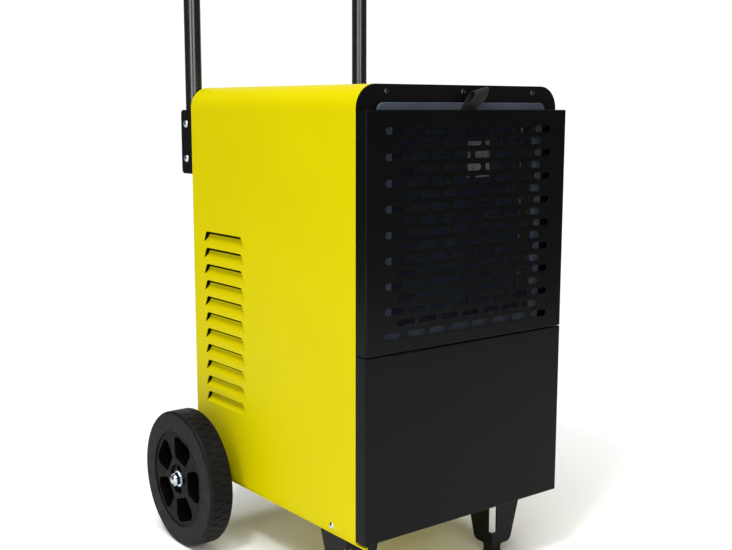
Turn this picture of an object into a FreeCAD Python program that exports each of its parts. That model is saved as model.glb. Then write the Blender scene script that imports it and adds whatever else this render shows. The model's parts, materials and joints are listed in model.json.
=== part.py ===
import FreeCAD, Part
import math
import os

# Wheeled commercial dehumidifier with a yellow steel cabinet, a slotted front
# grille, two rear wheels, two front legs and a tube handle behind.
# Millimetres, +Z up. The front faces -Y and the machine's left side is -X.
# The origin is on the floor, in the middle of the whole machine's footprint.

V = FreeCAD.Vector

# ---------------------------------------------------------------- driving sizes
sheet = 1.5                 # folded cabinet steel
thin_sheet = 1.2            # front and rear covers
clearance_height = 102.0    # underside of the cabinet above the floor
cabinet_width = 350.0
cabinet_front = -218.0      # front face of the yellow wrap
cabinet_rear = 191.0        # rear face of the yellow wrap
cabinet_height = 580.0
cabinet_corner = 30.0       # rounded upper corners
flange = 13.5               # inward flange round the wrap's open ends
fold_radius = 3.0

cover_depth = 20.0          # grille and lower cover stand this far forward
door_seam = 1.0
lower_cover_top = 346.0
door_top = 650.3

slot_length = 30.0
slot_width = 9.0
slot_pitch = 37.15
slot_row_pitch = 16.0
slot_rows = 17
first_slot_row = 369.0

louver_count = 11
louver_pitch = 24.5
louver_top = 470.0          # upper edge of the highest louver
louver_height = 16.5
louver_front = 44.0
louver_rear = 160.0
louver_splay = 8.0          # each end leans in by this much towards the top
louver_depth = 9.0
louver_gap = 5.0            # between a slat's upper edge and the top of its opening

wheel_radius = 102.0
wheel_y = 137.2
wheel_face = 241.0          # outer face of each tyre from the middle
wheel_width = 37.5
tyre_inner_radius = 72.0
tread_grooves = 46
first_window_angle = 16.5   # degrees forward of upright
axle_radius = 6.0

handle_tube_radius = 12.5
handle_x = 158.0
handle_y = 209.6
handle_top = 970.0
handle_bottom = 556.0
handle_bend = 55.0
bracket_bottom = 553.0
bracket_top = 649.0
bracket_rear = 224.0
bracket_sheet = 2.5
bolt_heights = (576.0, 628.0)
bolt_radius = 3.0

leg_sheet = 2.5
leg_front = -184.0
leg_folds = {"front_leg_left": -164.0, "front_leg_right": 103.0}
pad_height = 6.0

filter_half_width = 147.0
filter_bottom = 355.0
filter_top = 659.6
filter_bar = 22.5
filter_thickness = 4.0
filter_clearance = 2.4      # lets the filter slide up past the frame's screws

coil_left = -140.0
coil_right = 118.0
coil_tube_radius = 4.75
coil_tube_wall = 0.8
coil_pitch = 25.4
coil_rows = 11
coil_first_row = 380.0
coil_bend = coil_pitch / 2
coil_depth = 48.0
fin_pitch = 6.0
fin_thickness = 0.4
evaporator_y = -182.0
condenser_y = -126.0
port_x = 131.0              # open ends of the coil tubes
riser_x = 155.0             # pipes rise beside the coils at this x

fan_x = -11.0
fan_z = 507.0
fan_radius = 108.0
fan_blades = 6
shroud_y = -98.0

compressor_x = 20.0
compressor_y = 70.0
compressor_radius = 59.0
compressor_foot_angles = (90, 210, 330)
can_bottom = 116.0
can_split = 262.0
can_top = 330.0
can_wall = 7.0
accumulator_x = 115.0
drier_bottom = 405.0
drier_top = 505.0

tray_floor = 344.5          # inside floor of the drip tray
spout_y = -108.0
drain_x = -130.0
drain_z = 200.0
gland_x = 120.0
gland_z = 200.0

button_names = ("power", "mode", "timer", "lower", "raise")
button_pitch = 30.0
button_z = 609.0
button_radius = 7.0
board_face = 184.0          # rear face of the control board

frame_screw_x = (-128.0, 0.0, 128.0)
frame_screw_z = 673.0
plate_bolt_y = (116.0, 158.0)
plate_bolt_z = 117.0
rear_screw_places = [(side * 167.0, z) for side in (-1, 1) for z in (150.0, 320.0, 490.0)]
rear_screw_places += [(-100.0, 673.0), (100.0, 673.0)]
bracket_screw_places = [(side * 127.0, z) for side in (-1, 1) for z in (572.0, 630.0)]
shell_screw_places = ((cabinet_front + 52.5, 108.5), (181.0, 108.5))
leg_bolt_places = [(fold + step, leg_front + 22) for fold in leg_folds.values() for step in (16, 38)]

half_width = cabinet_width / 2
cabinet_top = clearance_height + cabinet_height
frame_front = cabinet_front - thin_sheet      # face of the black front frame
cover_front = frame_front - cover_depth       # face of the grille and lower cover
rear_face = cabinet_rear + thin_sheet         # outer face of the rear cover
inner_half = half_width - sheet
frame_half = half_width - fold_radius
door_bottom = lower_cover_top + door_seam
pan_bottom = clearance_height - 5.0
pan_top = pan_bottom + 2.0
filter_front = frame_front - filter_clearance - filter_thickness
hub_face = -wheel_face + 4.0                  # outer face of the left wheel's hub
rim_back = -wheel_face + wheel_width - 1.5    # inner face of the left wheel's rim
spacer_end = rim_back + 0.5
coil_bottom = coil_first_row - coil_bend
coil_top = coil_first_row + coil_pitch * (coil_rows - 1) + coil_bend
evaporator_front = evaporator_y - coil_depth / 2
panel_front = rear_face + 3.3                 # outer face of the control panel
button_x = [button_pitch * (k - 2) for k in range(len(button_names))]

nodes = {}


# ---------------------------------------------------------------- shape helpers
def box(x0, x1, y0, y1, z0, z1):
    return Part.makeBox(x1 - x0, y1 - y0, z1 - z0, V(x0, y0, z0))


def rod_x(radius, x0, x1, y, z):
    return Part.makeCylinder(radius, x1 - x0, V(x0, y, z), V(1, 0, 0))


def rod_y(radius, y0, y1, x, z):
    return Part.makeCylinder(radius, y1 - y0, V(x, y0, z), V(0, 1, 0))


def rod_z(radius, z0, z1, x, y):
    return Part.makeCylinder(radius, z1 - z0, V(x, y, z0), V(0, 0, 1))


def joined(shapes):
    """One fused shape, with the seams between flat pieces removed."""
    return shapes[0].fuse(shapes[1:]).removeSplitter()


def group(shapes):
    return Part.makeCompound(shapes)


def mirrored(shape):
    """The same piece on the other side of the machine."""
    return shape.mirror(V(0, 0, 0), V(1, 0, 0))


def on_xz(y):
    return lambda u, v: V(u, y, v)


def on_yz(x):
    return lambda u, v: V(x, u, v)


def corner_arc(before, corner, after, radius):
    """The two tangent points and the arc that round one corner."""
    to_before = (before - corner).normalize()
    to_after = (after - corner).normalize()
    half_angle = to_before.getAngle(to_after) / 2
    reach = radius / math.tan(half_angle)
    middle_line = (to_before + to_after).normalize()
    middle = corner + middle_line * (radius / math.sin(half_angle) - radius)
    start = corner + to_before * reach
    end = corner + to_after * reach
    return start, end, Part.Arc(start, middle, end).toShape()


def outline(corners, place):
    """Closed flat face through corners given as (u, v, radius)."""
    points = [place(u, v) for u, v, _ in corners]
    edges = []
    joints = []
    for index, (_, _, radius) in enumerate(corners):
        corner = points[index]
        if radius == 0:
            joints.append((corner, corner, None))
        else:
            before = points[index - 1]
            after = points[(index + 1) % len(points)]
            joints.append(corner_arc(before, corner, after, radius))
    for index, (_, leave, arc) in enumerate(joints):
        if arc:
            edges.append(arc)
        arrive = joints[(index + 1) % len(joints)][0]
        if leave.distanceToPoint(arrive) > 1e-6:
            edges.append(Part.makeLine(leave, arrive))
    return Part.Face(Part.Wire(Part.__sortEdges__(edges)))


def plate(corners, place, thickness):
    return outline(corners, place).extrude(thickness)


def rectangle(u0, u1, v0, v1, radius):
    return [(u0, v0, radius), (u1, v0, radius), (u1, v1, radius), (u0, v1, radius)]


def arch(half, bottom, top, radius):
    """Rectangle with only its two upper corners rounded."""
    return [(-half, bottom, 0), (half, bottom, 0), (half, top, radius), (-half, top, radius)]


def edges_where(shape, test):
    return [edge for edge in shape.Edges if all(test(v.Point) for v in edge.Vertexes)]


def bent_wire(points, radius):
    """Straight runs joined by tangent arcs, from the first point to the last."""
    edges = []
    here = points[0]
    for index in range(1, len(points) - 1):
        start, end, arc = corner_arc(points[index - 1], points[index], points[index + 1], radius)
        if here.distanceToPoint(start) > 1e-6:
            edges.append(Part.makeLine(here, start))
        edges.append(arc)
        here = end
    if here.distanceToPoint(points[-1]) > 1e-6:
        edges.append(Part.makeLine(here, points[-1]))
    return Part.Wire(edges)


def pipe(points, bend, outer, inner):
    """Round tube that follows a bent wire."""
    path = bent_wire(points, bend)
    direction = points[1] - points[0]
    rings = [Part.Wire(Part.Circle(points[0], direction, r).toShape()) for r in (outer, inner)]
    solids = [path.makePipeShell([ring], True, False) for ring in rings]
    return solids[0].cut(solids[1])


def hex_prism(across_flats, start, direction, length):
    """Hexagonal bar from a start point along a direction."""
    corner_radius = across_flats / math.sqrt(3)
    polygon = Part.makePolygon(hexagon_points(corner_radius))
    prism = Part.Face(polygon).extrude(V(0, 0, length))
    prism.Placement = FreeCAD.Placement(start, FreeCAD.Rotation(V(0, 0, 1), direction))
    return prism


def hexagon_points(radius):
    angles = [math.radians(60 * k) for k in range(7)]
    return [V(radius * math.cos(a), radius * math.sin(a), 0) for a in angles]


def dome_head(centre, direction, radius, height):
    """Low round head, flat side at the centre point, crown along the direction."""
    sphere_radius = (radius ** 2 + height ** 2) / (2 * height)
    ball = Part.makeSphere(sphere_radius, V(0, 0, height - sphere_radius))
    keep = Part.makeCylinder(radius + 1, height + 1)
    head = ball.common(keep)
    head.Placement = FreeCAD.Placement(centre, FreeCAD.Rotation(V(0, 0, 1), direction))
    return head


def screw(head_at, outward, head_radius, head_height, shank_radius, shank_length):
    """Dome-headed screw whose shank points against the outward direction."""
    shank = Part.makeCylinder(shank_radius, shank_length, head_at, outward * -1)
    return joined([dome_head(head_at, outward, head_radius, head_height), shank])


# ---------------------------------------------------------------- cabinet sheet metal
def louver_outline():
    """Opening of the highest louver: a low trapezium with rounded upper corners."""
    bottom = louver_top - louver_height
    return [
        (louver_front, bottom, 0),
        (louver_rear, bottom, 0),
        (louver_rear - louver_splay, louver_top, 7),
        (louver_front + louver_splay, louver_top, 7),
    ]


def louver_slat():
    """Curved flap pushed in from the lower edge of the highest left louver."""
    bottom = louver_top - louver_height
    skin = -half_width
    rise = louver_height - louver_gap
    outer = [V(skin, 0, bottom), V(skin + 0.66 * louver_depth, 0, bottom + 0.45 * rise),
             V(skin + louver_depth - thin_sheet, 0, bottom + rise)]
    shift = V(thin_sheet, 0, 0)
    inner = [point + shift for point in outer]
    edges = [
        Part.Arc(*outer).toShape(),
        Part.makeLine(outer[2], inner[2]),
        Part.Arc(*inner).toShape(),
        Part.makeLine(inner[0], outer[0]),
    ]
    section = Part.Face(Part.Wire(Part.__sortEdges__(edges)))
    section.translate(V(0, louver_front, 0))
    flap = section.extrude(V(0, louver_rear - louver_front, 0))
    ends = plate(louver_outline(), on_yz(skin - 1), V(louver_depth + 4, 0, 0))
    return flap.common(ends)


def make_cabinet_shell():
    outer = plate(
        arch(half_width, clearance_height, cabinet_top, cabinet_corner),
        on_xz(cabinet_front), V(0, cabinet_rear - cabinet_front, 0))
    rims = edges_where(outer, lambda p: abs(p.y - cabinet_front) < 0.01)
    rims += edges_where(outer, lambda p: abs(p.y - cabinet_rear) < 0.01)
    rims = [e for e in rims if max(v.Z for v in e.Vertexes) > clearance_height + 1]
    outer = outer.makeFillet(fold_radius, rims)
    cavity = plate(
        arch(inner_half, 0, cabinet_top - sheet, cabinet_corner - sheet),
        on_xz(cabinet_front + sheet), V(0, cabinet_rear - cabinet_front - 2 * sheet, 0))
    mouth = plate(
        arch(half_width - flange, 0, cabinet_top - flange, cabinet_corner - flange),
        on_xz(cabinet_front - 1), V(0, cabinet_rear - cabinet_front + 2, 0))
    shell = outer.cut(cavity).cut(mouth)
    window = plate(louver_outline(), on_yz(-half_width - 1), V(3, 0, 0))
    steps = [V(0, 0, -louver_pitch * k) for k in range(louver_count)]
    windows = [window.translated(step) for step in steps]
    slat = louver_slat()
    slats = [slat.translated(step) for step in steps]
    windows += [mirrored(shape) for shape in windows]
    slats += [mirrored(shape) for shape in slats]
    for y, z in shell_screw_places:
        windows.append(rod_x(2.2, -half_width - 1, half_width + 1, y, z))
    for y in plate_bolt_y:
        windows.append(rod_x(4.2, -half_width - 1, half_width + 1, y, plate_bolt_z))
    for x in frame_screw_x:
        windows.append(rod_y(2.2, cabinet_front - 1, cabinet_front + 2, x, frame_screw_z))
    for x, z in rear_screw_places:
        windows.append(rod_y(2.2, cabinet_rear - 2, cabinet_rear + 1, x, z))
    shell = shell.cut(group(windows))
    return shell.fuse(slats)


def make_base_pan():
    """Floor with a low wall on all four sides and a narrow ear under the left front corner."""
    wall_front = cabinet_front + sheet
    wall_rear = cabinet_rear - sheet
    wall_top = pan_top + 26
    floor = box(-inner_half, inner_half, frame_front, cabinet_rear, pan_bottom, pan_top)
    inner = inner_half - sheet
    ear = box(-inner_half, -inner_half + 5, cover_front + 4, frame_front, pan_bottom, pan_top)
    walls = [
        box(-inner_half, -inner, wall_front, wall_rear, pan_top, wall_top),
        box(inner, inner_half, wall_front, wall_rear, pan_top, wall_top),
        box(-inner, inner, wall_front, wall_front + sheet, pan_top, wall_top),
        box(-inner, inner, wall_rear - sheet, wall_rear, pan_top, wall_top),
    ]
    pan = joined([floor, ear] + walls)
    holes = [rod_x(2.2, -inner_half - 1, inner_half + 1, y, z) for y, z in shell_screw_places]
    holes += [rod_x(4.2, -inner_half - 1, inner_half + 1, y, plate_bolt_z) for y in plate_bolt_y]
    holes += [rod_z(3.2, pan_bottom - 1, pan_top + 1, x, y) for x, y in leg_bolt_places]
    return pan.cut(group(holes))


def make_front_frame():
    """Black frame plate: an intake window above and a service window below."""
    thickness = V(0, thin_sheet, 0)
    body = plate(arch(half_width, clearance_height + 1, cabinet_top, cabinet_corner),
                 on_xz(frame_front), thickness)
    start = on_xz(frame_front - 1)
    through = V(0, thin_sheet + 2, 0)
    intake = plate(rectangle(-140, 140, filter_bottom + 10, filter_top - 12, 6), start, through)
    service = plate(rectangle(-150, 150, 135, 320, 10), start, through)
    holes = [rod_y(2.2, frame_front - 1, frame_front + 3, x, frame_screw_z) for x in frame_screw_x]
    return body.cut(group([intake, service] + holes))


def tray(bottom, top, rear_of_top):
    """Folded cover: a front sheet with returns on all four sides."""
    outer = box(-half_width, half_width, cover_front, frame_front, bottom, top)
    folds = edges_where(outer, lambda p: abs(p.y - cover_front) < 0.01)
    outer = outer.makeFillet(1.6, folds)
    inner = box(-half_width + thin_sheet, half_width - thin_sheet, cover_front + thin_sheet,
                frame_front + 1, bottom + thin_sheet, top - thin_sheet)
    cover = outer.cut(inner)
    if rear_of_top < frame_front:
        inner_edge = half_width - thin_sheet
        gap = box(-inner_edge, inner_edge, rear_of_top, frame_front + 1, top - 3, top + 1)
        cover = cover.cut(gap)
    return cover


def make_grille_panel():
    cover = tray(door_bottom, door_top, filter_front - 2.4)
    half = slot_length / 2
    end = slot_width / 2
    slot = plate(rectangle(-half, half, -end, end, end - 0.001),
                 on_xz(cover_front - 1), V(0, thin_sheet + 2, 0))
    slots = []
    for row in range(slot_rows):
        count = 8 if row % 2 == 0 else 7
        z = first_slot_row + slot_row_pitch * row
        for column in range(count):
            x = slot_pitch * (column - (count - 1) / 2)
            slots.append(slot.translated(V(x, 0, z)))
    return cover.cut(group(slots))


def make_lower_front_panel():
    return tray(clearance_height + 1, lower_cover_top, frame_front)


def make_rear_panel():
    body = plate(
        arch(frame_half, clearance_height + 1, cabinet_top - fold_radius, cabinet_corner - fold_radius),
        on_xz(cabinet_rear), V(0, thin_sheet, 0))
    window = plate(rectangle(-88, 88, 592, 662, 4), on_xz(cabinet_rear - 1), V(0, 4, 0))
    holes = [window]
    holes.append(rod_y(10.2, cabinet_rear - 1, rear_face + 1, gland_x, gland_z))
    holes.append(rod_y(9.2, cabinet_rear - 1, rear_face + 1, drain_x, drain_z))
    for x, z in rear_screw_places:
        holes.append(rod_y(2.2, cabinet_rear - 1, rear_face + 1, x, z))
    for x, z in bracket_screw_places:
        holes.append(rod_y(3.2, cabinet_rear - 1, rear_face + 1, x, z))
    return body.cut(group(holes))


nodes["cabinet_shell"] = make_cabinet_shell()
nodes["base_pan"] = make_base_pan()
nodes["grille_panel"] = make_grille_panel()
nodes["lower_front_panel"] = make_lower_front_panel()
nodes["rear_panel"] = make_rear_panel()


# ---------------------------------------------------------------- screws of the cabinet
forward = V(0, -1, 0)
backward = V(0, 1, 0)
cover_screws = [screw(V(x, frame_front, frame_screw_z), forward, 3.8, 1.8, 2.0, 9)
                for x in frame_screw_x]
cover_screws += [screw(V(x, rear_face, z), backward, 4.0, 2.2, 2.0, 9)
                 for x, z in rear_screw_places]
nodes["cover_screws"] = group(cover_screws)
side_screws = []
for y, z in shell_screw_places:
    left = screw(V(-half_width, y, z), V(-1, 0, 0), 4.5, 2.6, 2.0, 9)
    side_screws += [left, mirrored(left)]
nodes["shell_screws"] = group(side_screws)


def make_panel_clips():
    """Angle tabs for the front face of the frame, which the two front covers push over."""
    clips = []
    for z in (130, 300, 380, 600):
        foot = box(-172, -156, frame_front - sheet, frame_front, z, z + 16)
        ear = box(-173.5, -172, frame_front - 13, frame_front, z, z + 16)
        clip = joined([foot, ear])
        clips += [clip, mirrored(clip)]
    return clips


nodes["front_frame"] = joined([make_front_frame()] + make_panel_clips())


# ---------------------------------------------------------------- air filter
def make_filter_frame():
    thickness = V(0, filter_thickness, 0)
    outer = plate(rectangle(-filter_half_width, filter_half_width, filter_bottom, filter_top, 10),
                  on_xz(filter_front), thickness)
    rims = [e for e in outer.Edges if abs(e.BoundBox.YLength) < 0.01]
    outer = outer.makeFillet(1.2, rims)
    inner_half_width = filter_half_width - filter_bar
    window = box(-inner_half_width, inner_half_width, filter_front - 1, frame_front,
                 filter_bottom + filter_bar, filter_top - filter_bar)
    return outer.cut(window)


def make_filter_mesh():
    inner_half_width = filter_half_width - filter_bar
    middle = filter_front + filter_thickness / 2
    return box(-inner_half_width, inner_half_width, middle - 0.3, middle + 0.3,
               filter_bottom + filter_bar, filter_top - filter_bar)


def make_pull_strap():
    """Flat band: a tongue on the filter's top bar and a closed loop above it."""
    band = 1.6
    width = 22.0
    root = V(7.5, filter_front - 3.4, filter_top + 1.5)
    lean = V(0.46, -0.16, 0.87).normalize()
    across = V(0.88, 0, -0.46).normalize()
    normal = lean.cross(across).normalize()
    tongue = box(-7, 15, filter_front - band, filter_front, filter_top - 24, filter_top + 2.5)
    half_gap = 4.0
    length = 22.0

    def place(u, v):
        return root + lean * (u - 2) + normal * v - across * (width / 2)

    outer = plate([(0, -half_gap - band, 2), (length, -half_gap - band, 5.4),
                   (length, half_gap + band, 5.4), (0, half_gap + band, 2)],
                  place, across * width)
    hole = plate([(band, -half_gap, 1), (length - band, -half_gap, 3.8),
                  (length - band, half_gap, 3.8), (band, half_gap, 1)],
                 lambda u, v: place(u, v) - across, across * (width + 2))
    loop = outer.cut(hole)
    behind = box(-60, 80, filter_front, 0, 600, filter_top)
    return joined([loop.cut(behind), tongue])


def make_filter_guide():
    """Left channel that the filter's edge slides in, with a foot under its corner."""
    lip_front = filter_front - 2.4
    web_in = -filter_half_width - 0.6
    web = box(web_in - sheet, web_in, lip_front, frame_front, filter_bottom - 2.5, 640)
    lip = box(web_in, -filter_half_width + 6, lip_front, lip_front + 1.2, filter_bottom - 2.5, 640)
    foot = box(web_in, -filter_half_width + 26, lip_front, frame_front, filter_bottom - 2.5,
               filter_bottom - 0.4)
    return joined([web, lip, foot])


nodes["filter_frame"] = make_filter_frame()
nodes["filter_mesh"] = make_filter_mesh()
nodes["filter_pull_strap"] = make_pull_strap()
filter_guide = make_filter_guide()
nodes["filter_guides"] = group([filter_guide, mirrored(filter_guide)])


# ---------------------------------------------------------------- handle
def make_handle_tube():
    left = V(-handle_x, handle_y, handle_bottom)
    right = V(handle_x, handle_y, handle_bottom)
    top = handle_top - handle_tube_radius
    path = [left, V(-handle_x, handle_y, top), V(handle_x, handle_y, top), right]
    tube = pipe(path, handle_bend, handle_tube_radius, handle_tube_radius - 1.5)
    holes = []
    for z in bolt_heights:
        holes.append(rod_x(bolt_radius + 0.2, -handle_x - 20, -handle_x + 20, handle_y, z))
        holes.append(rod_x(bolt_radius + 0.2, handle_x - 20, handle_x + 20, handle_y, z))
    return tube.cut(group(holes))


def make_handle_bracket():
    """Left folded channel: two cheeks either side of the tube, a web and an ear."""
    cheek_out = -handle_x - handle_tube_radius
    cheek_in = -handle_x + handle_tube_radius
    side = [(rear_face, bracket_bottom, 0), (bracket_rear, bracket_bottom, 6),
            (bracket_rear, bracket_top, 6), (rear_face, bracket_top, 0)]
    outer = plate(side, on_yz(cheek_out - bracket_sheet), V(bracket_sheet, 0, 0))
    inner = plate(side, on_yz(cheek_in), V(bracket_sheet, 0, 0))
    web = box(cheek_out, -118, rear_face, rear_face + bracket_sheet, bracket_bottom, bracket_top)
    bracket = joined([outer, inner, web])
    holes = [rod_x(bolt_radius + 0.2, cheek_out - 5, cheek_in + 5, handle_y, z) for z in bolt_heights]
    holes += [rod_y(3.2, rear_face - 1, rear_face + 5, x, z) for x, z in bracket_screw_places if x < 0]
    return bracket.cut(group(holes))


def make_handle_bolts():
    cheek = -handle_x - handle_tube_radius - bracket_sheet
    bolts = []
    for z in bolt_heights:
        bolt = screw(V(cheek, handle_y, z), V(-1, 0, 0), 5.6, 3.4, bolt_radius, 40)
        bolts += [bolt, mirrored(bolt)]
    return group(bolts)


def make_handle_nuts():
    cheek = -handle_x + handle_tube_radius + bracket_sheet
    nuts = []
    for z in bolt_heights:
        nut = hex_prism(10, V(cheek, handle_y, z), V(1, 0, 0), 5)
        nut = nut.cut(rod_x(bolt_radius, cheek - 1, cheek + 8, handle_y, z))
        nuts += [nut, mirrored(nut)]
    return group(nuts)


nodes["handle_tube"] = make_handle_tube()
nodes["handle_bracket_left"] = make_handle_bracket()
nodes["handle_bracket_right"] = mirrored(nodes["handle_bracket_left"])
bracket_screws = [screw(V(x, rear_face + bracket_sheet, z), backward, 5.5, 3.0, 3.0, 16)
                  for x, z in bracket_screw_places]
nodes["handle_bolts"] = group([make_handle_bolts(), make_handle_nuts()] + bracket_screws)


# ---------------------------------------------------------------- rear wheels
def make_wheel_tyre():
    """Solid tyre of the left wheel with two rows of short shallow tread grooves."""
    outer_x = -wheel_face
    inner_x = -wheel_face + wheel_width
    section = outline(
        [(outer_x, tyre_inner_radius, 0.8), (outer_x, wheel_radius, 4.5),
         (inner_x, wheel_radius, 4.5), (inner_x, tyre_inner_radius, 0.8)],
        lambda u, v: V(u, wheel_y, clearance_height + v))
    axis_point = V(0, wheel_y, clearance_height)
    tyre = section.revolve(axis_point, V(1, 0, 0), 360)
    margin = 6.0
    groove_length = 12.0
    groove_top = clearance_height + wheel_radius
    grooves = []
    for side_x, offset in ((outer_x + margin, 0.0), (inner_x - margin - groove_length, 0.5)):
        groove = box(side_x, side_x + groove_length, wheel_y - 1.1, wheel_y + 1.1,
                     groove_top - 1.1, groove_top + 2)
        for k in range(tread_grooves):
            copy = groove.copy()
            copy.rotate(axis_point, V(1, 0, 0), 360.0 * (k + offset) / tread_grooves)
            grooves.append(copy)
    return tyre.cut(group(grooves))


def make_wheel_rim():
    """Moulded rim of the left wheel: five spokes, blind windows and a bored hub."""
    face_x = -wheel_face + 1.5
    axis_point = V(0, wheel_y, clearance_height)
    body = rod_x(tyre_inner_radius, face_x, rim_back, wheel_y, clearance_height)
    window = plate(
        [(16, 29, 6), (29, 64, 11), (-29, 64, 11), (-16, 29, 6)],
        lambda u, v: V(face_x - 1, wheel_y + u, clearance_height + v), V(28, 0, 0))
    pocket = plate(
        [(16, 31, 5), (28, 62, 10), (-28, 62, 10), (-16, 31, 5)],
        lambda u, v: V(rim_back - 6, wheel_y + u, clearance_height + v), V(7, 0, 0))
    cuts = [rod_x(axle_radius + 0.05, -wheel_face - 1, rim_back + 1, wheel_y, clearance_height)]
    cuts.append(rod_x(22, face_x - 1, hub_face, wheel_y, clearance_height))
    for k in range(5):
        for shape in (window, pocket):
            copy = shape.copy()
            copy.rotate(axis_point, V(1, 0, 0), first_window_angle + 72 * k)
            cuts.append(copy)
    small = rod_x(4.8, hub_face - 1, hub_face + 16, wheel_y, clearance_height + 16.5)
    for k in range(4):
        copy = small.copy()
        copy.rotate(axis_point, V(1, 0, 0), 90 * k)
        cuts.append(copy)
    return body.cut(group(cuts))


def make_axle_plate():
    """Left outside plate that carries the stub axle."""
    body = plate(rectangle(100, 174, 84, 132, 8), on_yz(-half_width - 4), V(4, 0, 0))
    holes = [rod_x(4.2, -half_width - 5, -half_width + 1, y, plate_bolt_z) for y in plate_bolt_y]
    return body.cut(group(holes))


def make_axle_bolts():
    bolts = []
    for y in plate_bolt_y:
        head_at = V(-half_width - 4, y, plate_bolt_z)
        head = hex_prism(13, head_at, V(-1, 0, 0), 5.3)
        bolt = joined([head, rod_x(4.0, head_at.x, -half_width + 13, y, plate_bolt_z)])
        bolts += [bolt, mirrored(bolt)]
    return group(bolts)


def make_axle_bolt_nuts():
    nuts = []
    start = -inner_half + sheet
    for y in plate_bolt_y:
        nut = hex_prism(13, V(start, y, plate_bolt_z), V(1, 0, 0), 6.5)
        nut = nut.cut(rod_x(4.0, start - 1, start + 8, y, plate_bolt_z))
        nuts += [nut, mirrored(nut)]
    return group(nuts)


def make_cap_nut():
    """Left domed nut: hexagon, then a round crown, with a blind bore for the axle."""
    seat = hub_face - 2.0
    hexagon = hex_prism(18, V(seat, wheel_y, clearance_height), V(-1, 0, 0), 6.5)
    crown = dome_head(V(seat - 6.5, wheel_y, clearance_height), V(-1, 0, 0), 8.2, 5.8)
    nut = joined([hexagon, crown])
    return nut.cut(rod_x(axle_radius, seat - 6, seat + 1, wheel_y, clearance_height))


stub_axle = rod_x(axle_radius, hub_face - 7.5, -half_width - 4, wheel_y, clearance_height)
spacer = rod_x(10, spacer_end, -half_width - 4, wheel_y, clearance_height)
spacer = spacer.cut(rod_x(axle_radius, spacer_end - 1, -half_width, wheel_y, clearance_height))
washer = rod_x(12, hub_face - 2.0, hub_face - 0.4, wheel_y, clearance_height)
washer = washer.cut(rod_x(axle_radius, hub_face - 4, hub_face + 1, wheel_y, clearance_height))
cap_nut = make_cap_nut()
left_side = {
    "wheel_tyre": make_wheel_tyre(),
    "wheel_rim": make_wheel_rim(),
    "stub_axle": joined([make_axle_plate(), stub_axle]),
}
for name, shape in left_side.items():
    nodes[name + "_left"] = shape
    nodes[name + "_right"] = mirrored(shape)
left_hardware = [cap_nut, washer, spacer]
nodes["axle_nuts"] = group(left_hardware + [mirrored(shape) for shape in left_hardware])
chassis_bolts = [make_axle_bolts(), make_axle_bolt_nuts()]


# ---------------------------------------------------------------- front legs
def make_front_leg(fold):
    """Right-angled folded leg: the fold is its front left corner."""
    def profile(along):
        return [(along(0), pan_bottom, 0), (along(61), pan_bottom, 0), (along(52), 71, 12),
                (along(37), 15, 10), (along(18), 15, 3), (along(17), pad_height, 0),
                (along(0), pad_height, 0)]

    face = plate(profile(lambda u: fold + u), on_xz(leg_front), V(0, leg_sheet, 0))
    side = plate(profile(lambda u: leg_front + u), on_yz(fold), V(leg_sheet, 0, 0))
    tab = box(fold + leg_sheet, fold + 52, leg_front + leg_sheet, leg_front + 40,
              pan_bottom - leg_sheet, pan_bottom)
    relief = box(fold - 1, fold + 9, leg_front - 1, leg_front + 9, 34, 77)
    leg = joined([face, side, tab])
    holes = [rod_z(3.2, pan_bottom - 5, pan_bottom + 1, x, y) for x, y in leg_bolt_places]
    return leg.cut(group([relief] + holes))


def make_foot_pad(fold):
    """Rubber pad under one leg's foot."""
    corners = rectangle(fold - 1, fold + 19, leg_front - 1, leg_front + 19, 3)
    return plate(corners, lambda u, v: V(u, v, 0), V(0, 0, pad_height))


for name, fold in leg_folds.items():
    nodes[name] = make_front_leg(fold)
nodes["foot_pads"] = group([make_foot_pad(fold) for fold in leg_folds.values()])
for x, y in leg_bolt_places:
    under = pan_bottom - leg_sheet
    head = hex_prism(10, V(x, y, under), V(0, 0, -1), 4)
    chassis_bolts.append(joined([head, rod_z(3.0, under, pan_top + 9, x, y)]))
    leg_nut = hex_prism(10, V(x, y, pan_top), V(0, 0, 1), 5)
    chassis_bolts.append(leg_nut.cut(rod_z(3.0, pan_top - 1, pan_top + 9, x, y)))


# ---------------------------------------------------------------- cooling coils
def coil_holes(y_middle, x0, x1):
    """Drill shapes at every place where the serpentine passes a sheet."""
    holes = []
    for row in range(coil_rows):
        z = coil_first_row + coil_pitch * row
        for y in (y_middle - coil_bend, y_middle + coil_bend):
            holes.append(rod_x(coil_tube_radius + 0.1, x0, x1, y, z))
    return group(holes)


def make_coil_fins(y_middle):
    front = y_middle - coil_depth / 2
    first = coil_left + fin_pitch
    fin = box(first, first + fin_thickness, front, front + coil_depth, coil_bottom, coil_top)
    fin = fin.cut(coil_holes(y_middle, first - 1, first + 1))
    count = int((coil_right - coil_left - fin_pitch) / fin_pitch)
    return group([fin.translated(V(fin_pitch * k, 0, 0)) for k in range(count)])


def make_coil_end_plates(y_middle):
    front = y_middle - coil_depth / 2 - 1
    end_plate = box(coil_left, coil_left + thin_sheet, front, front + coil_depth + 2,
                    tray_floor, coil_top + 4)
    end_plate = end_plate.cut(coil_holes(y_middle, coil_left - 1, coil_left + 2))
    return group([end_plate, end_plate.translated(V(coil_right - coil_left, 0, 0))])


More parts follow.
